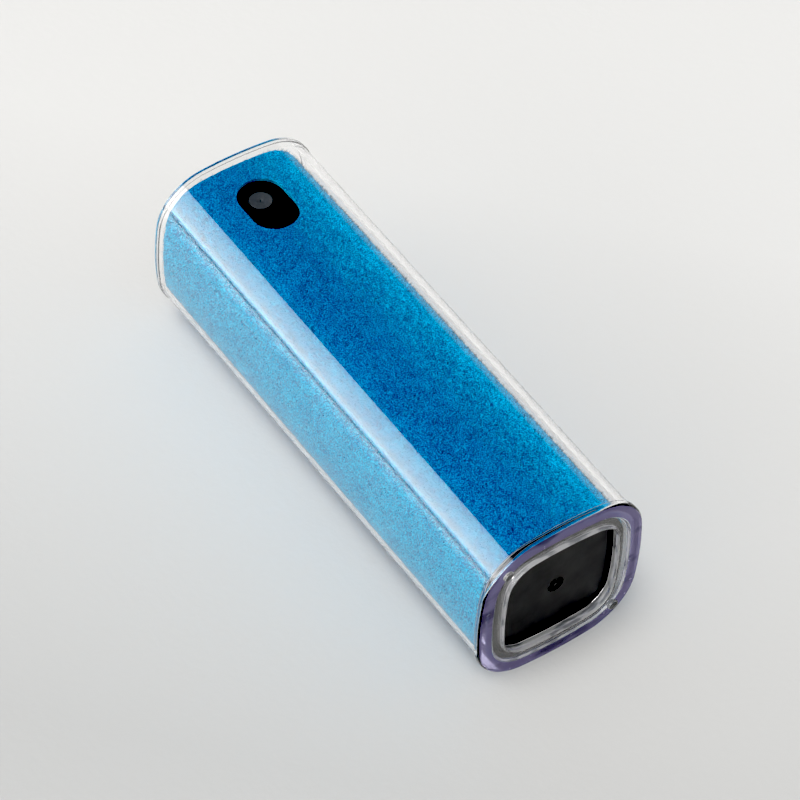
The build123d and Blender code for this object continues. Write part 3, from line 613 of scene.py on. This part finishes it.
def cloth_nap():
    """The nap: short tapered fibres standing out of the cloth, longer where the cover leaves more room."""
    count = 42000
    root = 0.00005
    radius = 0.00003
    longest = 0.0006
    # How far the nap could stand at the cover's tight end, just short of its wall, if the body lay on the
    # cover's axis, and how far the body lies off that axis, towards -Y and towards -Z
    centred_room = 0.00059
    body_shift = 0.0003
    seam_margin = 0.0003
    window_margin = 0.00005
    far_overhang = 0.00015
    near_overhang = 0.0001
    sideways_share = 0.6
    tilt_spread = 0.25

    rng = np.random.default_rng(11)
    run, fine = wrap()
    angles = same_turn(np.interp(rng.uniform(seam_margin, run[-1] - seam_margin, count), run, fine))
    x = rng.uniform(SLEEVE_LOW.x, SLEEVE_HIGH.x, count)
    y, z = outline(angles, CLOTH_HALF - root)
    lean = rng.uniform(radians(15), radians(65), count)
    spin = rng.uniform(0, 2 * pi, count)
    tilt = rng.normal(0, tilt_spread, (count, 3))
    room = centred_room + body_shift * (np.cos(angles) + np.sin(angles))
    reach = root + np.minimum(room, longest) * rng.uniform(0.5, 1, count)

    out = np.stack((np.zeros(count), np.cos(angles), np.sin(angles)), axis=1)
    round_body = np.stack((out[:, 0], -out[:, 2], out[:, 1]), axis=1)
    along = np.array((1.0, 0.0, 0.0))
    foot = np.stack((x, BODY_AXIS[0] + y, BODY_AXIS[1] + z), axis=1)
    sideways = np.cos(spin)[:, None] * along + np.sin(spin)[:, None] * round_body
    tip = foot + reach[:, None] * (out + sideways_share * np.tan(lean)[:, None] * sideways)
    tip[:, 0] = np.clip(tip[:, 0], SLEEVE_LOW.x - far_overhang, SLEEVE_HIGH.x + near_overhang)
    beside = np.minimum(slot_distance(foot[:, 0], foot[:, 1]), slot_distance(tip[:, 0], tip[:, 1]))
    clear = (np.sin(angles) < 0) | (beside > window_margin)
    out, round_body, foot, tip, tilt = (values[clear] for values in (out, round_body, foot, tip, tilt))
    thirds = (0, 2 * pi / 3, 4 * pi / 3)
    corners = [foot + radius * (cos(a) * along + sin(a) * round_body) for a in thirds]
    vertices = np.stack((*corners, tip), axis=1).reshape(-1, 3)
    base = 4 * np.arange(len(foot))[:, None, None]
    faces = (base + np.array(((0, 1, 3), (1, 2, 3), (2, 0, 3), (0, 2, 1)))).reshape(-1, 3)
    nap = mesh_object("cloth_nap", vertices, faces)
    shade = out + tilt
    shade /= np.linalg.norm(shade, axis=1)[:, None]
    nap.data.normals_split_custom_set_from_vertices(np.repeat(shade, 4, axis=0).tolist())
    return nap


def snap_to_window(points, on_top):
    """Moves the points near the window's outline onto it, and returns which points it takes as inside."""
    reach_outwards = 0.3 * CLOTH_STEP
    reach_inwards = 1.5 * CLOTH_STEP
    nudge = 1e-6
    distance = slot_distance(points[..., 0], points[..., 1])
    inside = on_top & (distance < reach_outwards)
    close = inside & (distance > -reach_inwards)
    slope_x = (slot_distance(points[..., 0] + nudge, points[..., 1]) - distance) / nudge
    slope_y = (slot_distance(points[..., 0], points[..., 1] + nudge) - distance) / nudge
    points[..., 0] -= np.where(close, distance * slope_x, 0)
    points[..., 1] -= np.where(close, distance * slope_y, 0)
    return inside


def rim_quads(quads, shift):
    """Quads that close the gap between a sheet's border and the same border shift places further on."""
    edges = np.concatenate([quads[:, [k, (k + 1) % 4]] for k in range(4)])
    ordered = np.sort(edges, axis=1)
    keys = ordered[:, 0] * (2 * shift) + ordered[:, 1]
    _, first, uses = np.unique(keys, return_index=True, return_counts=True)
    border = edges[first[uses == 1]]
    return np.stack((border[:, 1], border[:, 0], border[:, 0] + shift, border[:, 1] + shift), axis=1)


# ---------------------------------------------------------------- build the pieces
cover_plastic = clear_material(
    "clear_plastic", tint=(1, 1, 1), ior=1.49, rough_high=0.012, lamp_tint=(0.99, 0.99, 1.0)
)
# The ring face's violet and its dark navy patches are painted light: they stand in for light carried along
# the clear wall from the blue cloth and what lies around it.
ring_plastic_painted_light = patched_material(
    "ring_plastic_painted_light",
    dark=(0.09, 0.08, 0.17),
    light=(0.215, 0.19, 0.35),
    through=0.35,
    roughness=0.3,
    scale=300.0,
    stretch=(1, 0.45, 1),
)
sunk_plastic = patched_material(
    "sunk_plastic",
    dark=(0.3, 0.3, 0.3),
    light=(0.4, 0.4, 0.4),
    through=0.7,
    roughness=0.15,
    scale=200.0,
    stretch=(1, 1, 1),
)
# The white streaky patches on the groove's side and the opening's inner wall are painted reflections of the
# bright surroundings; the light passing through them is real.
wall_plastic_painted_reflection = patched_material(
    "wall_plastic_painted_reflection",
    dark=(0.5, 0.51, 0.53),
    light=(1.0, 1.0, 1.0),
    through=0.66,
    roughness=0.1,
    scale=500.0,
    stretch=(3, 0.6, 0.6),
)
shell = cover_shell((cover_plastic, ring_plastic_painted_light, sunk_plastic, wall_plastic_painted_reflection))
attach(shell, "cover")
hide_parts("clear_cover")

MICROFIBRE = microfibre_material()
cloth, cloth_flat = microfibre_cloth()
cloth.data.materials.append(MICROFIBRE)
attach(cloth, "wiper")
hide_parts("microfibre_sleeve")

nap = cloth_nap()
nap.data.materials.append(MICROFIBRE)
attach(nap, "wiper")

spring = coil_spring()
spring.data.materials.append(metal("spring_steel", (0.56, 0.56, 0.57), 0.25, 0.4))
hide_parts("return_spring")

PITCH = moulded_plastic("pitch_plastic", (0.006, 0.006, 0.006), (0.01, 0.01, 0.01), 0.35, 0.45)
BLACK = moulded_plastic("black_plastic", (0.038, 0.038, 0.039), (0.052, 0.052, 0.053), 0.35, 0.5)
NOZZLE = moulded_plastic("nozzle_plastic", (0.05, 0.056, 0.062), (0.062, 0.068, 0.074), 0.4, 0.5)
PUMP = moulded_plastic("pump_plastic", (0.74, 0.74, 0.73), (0.82, 0.82, 0.8), 0.35, 0.5)
# Nodes that aren't listed take PUMP: the pump's own pieces, and those that the scene replaces
NODE_MATERIALS = {
    "housing": PITCH,
    "base_plug": BLACK,
    "push_button": PITCH,
    "nozzle_insert": NOZZLE,
    "adhesive_film": moulded_plastic("adhesive_film", (0.55, 0.6, 0.66), (0.7, 0.74, 0.8), 0.4, 0.55),
    "bottle": clear_material("bottle_plastic", (0.95, 0.96, 0.97), ior=1.5, rough_high=0.35),
    "cleaning_fluid": clear_material("cleaning_fluid", (0.9, 0.96, 1.0), ior=1.35, rough_high=0.01),
    "neck_gasket": moulded_plastic("gasket_rubber", (0.4, 0.4, 0.41), (0.5, 0.5, 0.51), 0.6, 0.75),
    "stem_seal": moulded_plastic("seal_rubber", (0.4, 0.4, 0.41), (0.5, 0.5, 0.51), 0.6, 0.75),
    "screw_collar": moulded_plastic("collar_plastic", (0.72, 0.72, 0.72), (0.8, 0.8, 0.79), 0.35, 0.5),
    "inlet_ball": metal("ball_steel", (0.62, 0.62, 0.63), 0.08, 0.16),
    "dip_tube": clear_material("tube_plastic", (0.93, 0.95, 0.96), ior=1.5, rough_high=0.3),
}
for node_name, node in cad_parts.items():
    node.data.materials.clear()
    node.data.materials.append(NODE_MATERIALS.get(node_name, PUMP))


# ---------------------------------------------------------------- floor, light and camera
LAMP_LEAN = radians(13)
LIGHT_STRENGTH = 10.0
FLOOR_RADIUS = 4.0
FLOOR_GRAIN_DEPTH = 0.00004
# How fast the floor's painted shade changes along X and Y, and its colours, from its near to its far side:
# the near side is painted darker, as if less light reached it
FLOOR_PAINTED_SHADE_SLOPE = (-3.42, 3.77, 0.0)
FLOOR_COLOUR_AND_PAINTED_SHADE_STOPS = (
    (0.18, (0.535, 0.535, 0.53)),
    (0.5, (0.635, 0.632, 0.624)),
    (0.82, (0.715, 0.710, 0.700)),
)
# The floor's gloss as seen directly, and as the object's gloss sees it
FLOOR_GLOSS = (
    ("Roughness", 0.6, 0.2),
    ("Specular IOR Level", 0.1, 0.5),
)
# Light by how near its direction is to the lamp's
LAMP_STOPS = (
    (0.945, (0.0, 0.0, 0.0)),
    (0.985, (11.4, 11.4, 11.3)),
)
# Light from +Y (0) over the top (0.5) to -Y (1): what falls on the object, and what its gloss mirrors
DOME_STOPS = (
    (0.84, (0.37, 0.37, 0.37)),
    (0.9, (3.0, 3.0, 3.0)),
)
MIRRORED_STOPS = (
    (0.0, (0.85, 0.85, 0.85)),
    (0.15, (0.95, 0.95, 0.95)),
    (0.2, (0.3, 0.3, 0.3)),
    (0.335, (0.35, 0.35, 0.35)),
    (0.355, (0.2, 0.2, 0.2)),
    (0.667, (0.2, 0.2, 0.2)),
    (0.674, (3.1, 3.13, 3.15)),
    (0.70, (3.4, 3.43, 3.45)),
    (0.79, (4.4, 4.43, 4.45)),
    (0.88, (5.3, 5.33, 5.35)),
    (0.925, (6.6, 6.63, 6.66)),
    (0.966, (6.4, 6.43, 6.46)),
    (0.982, (4.6, 4.63, 4.66)),
    (0.987, (0.1, 0.1, 0.1)),
    (1.0, (0.1, 0.1, 0.1)),
)
# The backdrop, as it is seen directly and through clear plastic
PLAIN_LIGHT = (0.84, 0.84, 0.83, 1)
# The level that the picture shows as black, which deepens its darks
BLACK_LEVEL = (0.07, 0.07, 0.07)


def by_reflection(tree):
    """1 where a ray comes here off a glossy surface, 0 where it comes straight or through clear plastic."""
    path = tree.nodes.new("ShaderNodeLightPath")
    both = tree.nodes.new("ShaderNodeMath")
    both.operation = "MULTIPLY"
    both.use_clamp = True
    tree.links.new(path.outputs["Is Glossy Ray"], both.inputs[0])
    tree.links.new(path.outputs["Glossy Depth"], both.inputs[1])
    return both.outputs["Value"]


def floor_plane():
    """A pale floor, painted darker towards its near side as shade, that looks polished only in the object's
    gloss.
    """
    work = bmesh.new()
    bmesh.ops.create_circle(work, cap_ends=True, radius=FLOOR_RADIUS, segments=96)
    mesh = bpy.data.meshes.new("floor")
    work.to_mesh(mesh)
    work.free()
    floor = bpy.data.objects.new("floor", mesh)
    bpy.context.scene.collection.objects.link(floor)
    material, tree, output = new_material("pale_floor")
    shader = principled(tree)
    for socket, plain, polished in FLOOR_GLOSS:
        choice = tree.nodes.new("ShaderNodeMix")
        choice.inputs["A"].default_value = plain
        choice.inputs["B"].default_value = polished
        tree.links.new(by_reflection(tree), choice.inputs["Factor"])
        tree.links.new(choice.outputs["Result"], shader.inputs[socket])
    place = tree.nodes.new("ShaderNodeTexCoord")
    across = tree.nodes.new("ShaderNodeVectorMath")
    across.operation = "DOT_PRODUCT"
    tree.links.new(place.outputs["Object"], across.inputs[0])
    across.inputs[1].default_value = FLOOR_PAINTED_SHADE_SLOPE
    share = tree.nodes.new("ShaderNodeMath")
    share.operation = "ADD"
    tree.links.new(across.outputs["Value"], share.inputs[0])
    share.inputs[1].default_value = 0.5
    # Painted shade: the floor's colour darkens towards its near side.
    colour = ramp(tree, share.outputs["Value"], FLOOR_COLOUR_AND_PAINTED_SHADE_STOPS)
    tree.links.new(colour, shader.inputs["Base Color"])
    grain = noise(tree, scale=700.0, detail=3.0)
    tree.links.new(bump(tree, grain, FLOOR_GRAIN_DEPTH), shader.inputs["Normal"])
    tree.links.new(shader.outputs["BSDF"], output.inputs["Surface"])
    mesh.materials.append(material)


def direction_parts(tree):
    """How near a ray's direction is to the lamp's, and how far round from +Y over the top it is, 0 to 1."""
    place = tree.nodes.new("ShaderNodeTexCoord")
    near = tree.nodes.new("ShaderNodeVectorMath")
    near.operation = "DOT_PRODUCT"
    near.inputs[1].default_value = (0.0, -sin(LAMP_LEAN), cos(LAMP_LEAN))
    tree.links.new(place.outputs["Generated"], near.inputs[0])
    parts = tree.nodes.new("ShaderNodeSeparateXYZ")
    tree.links.new(place.outputs["Generated"], parts.inputs["Vector"])
    angle = tree.nodes.new("ShaderNodeMath")
    angle.operation = "ARCTAN2"
    tree.links.new(parts.outputs["Z"], angle.inputs[0])
    tree.links.new(parts.outputs["Y"], angle.inputs[1])
    share = tree.nodes.new("ShaderNodeMath")
    share.operation = "DIVIDE"
    tree.links.new(angle.outputs["Value"], share.inputs[0])
    share.inputs[1].default_value = pi
    return near.outputs["Value"], share.outputs["Value"]


def light(tree, factor, stops):
    """A background whose light follows (position, colour) stops over factor."""
    node = tree.nodes.new("ShaderNodeBackground")
    node.inputs["Strength"].default_value = LIGHT_STRENGTH
    shares = [(position, tuple(c / LIGHT_STRENGTH for c in colour)) for position, colour in stops]
    tree.links.new(ramp(tree, factor, shares), node.inputs["Color"])
    return node.outputs["Background"]


def studio_world():
    """A studio lit from overhead and from -Y, with other light for gloss to mirror and a plain backdrop."""
    world = bpy.data.worlds.new("studio")
    bpy.context.scene.world = world
    world.use_nodes = True
    tree = world.node_tree
    tree.nodes.clear()
    overhead, share = direction_parts(tree)
    mirrored = light(tree, share, MIRRORED_STOPS)
    lamp = light(tree, overhead, LAMP_STOPS)
    dome = light(tree, share, DOME_STOPS)
    both = tree.nodes.new("ShaderNodeAddShader")
    tree.links.new(lamp, both.inputs[0])
    tree.links.new(dome, both.inputs[1])
    plain = tree.nodes.new("ShaderNodeBackground")
    plain.inputs["Color"].default_value = PLAIN_LIGHT
    path = tree.nodes.new("ShaderNodeLightPath")
    seen = both.outputs["Shader"]
    for factor, other in (
        (path.outputs["Is Glossy Ray"], plain.outputs["Background"]),
        (by_reflection(tree), mirrored),
        (path.outputs["Is Camera Ray"], plain.outputs["Background"]),
    ):
        mix = tree.nodes.new("ShaderNodeMixShader")
        tree.links.new(factor, mix.inputs["Fac"])
        tree.links.new(seen, mix.inputs[1])
        tree.links.new(other, mix.inputs[2])
        seen = mix.outputs["Shader"]
    output = tree.nodes.new("ShaderNodeOutputWorld")
    tree.links.new(seen, output.inputs["Surface"])


def place_camera():
    """The camera, looking down at the near end of the stick from the -Y side."""
    azimuth = radians(53.144)
    elevation = radians(48.685)
    roll = radians(3.411)
    distance = 0.5740
    # How far the aim is from the cover's middle: along X, and then to the right and down in the picture
    along = -0.00025
    rightwards = 0.001545
    downwards = 0.000527
    back = Vector((sin(azimuth) * cos(elevation), -cos(azimuth) * cos(elevation), sin(elevation)))
    level = Vector((cos(azimuth), sin(azimuth), 0))
    upright = back.cross(level)
    right = level * cos(roll) + upright * sin(roll)
    up = upright * cos(roll) - level * sin(roll)
    aim = Vector((along, 0, COVER_AXIS[1])) + right * rightwards - up * downwards
    data = bpy.data.cameras.new("camera")
    data.sensor_width = 36.0
    data.lens = 162.93
    data.clip_start = 0.01
    data.clip_end = 20.0
    camera = bpy.data.objects.new("camera", data)
    bpy.context.scene.collection.objects.link(camera)
    turn = Matrix((right, up, back)).transposed().to_4x4()
    camera.matrix_world = Matrix.Translation(aim + back * distance) @ turn
    bpy.context.scene.camera = camera


floor_plane()
studio_world()
place_camera()

view = bpy.context.scene.view_settings
view.view_transform = "Standard"
view.use_curve_mapping = True
view.curve_mapping.black_level = BLACK_LEVEL
cycles = bpy.context.scene.cycles
cycles.max_bounces = 128
cycles.transmission_bounces = 128
cycles.transparent_max_bounces = 24
cycles.glossy_bounces = 16
cycles.caustics_refractive = False
cycles.caustics_reflective = False
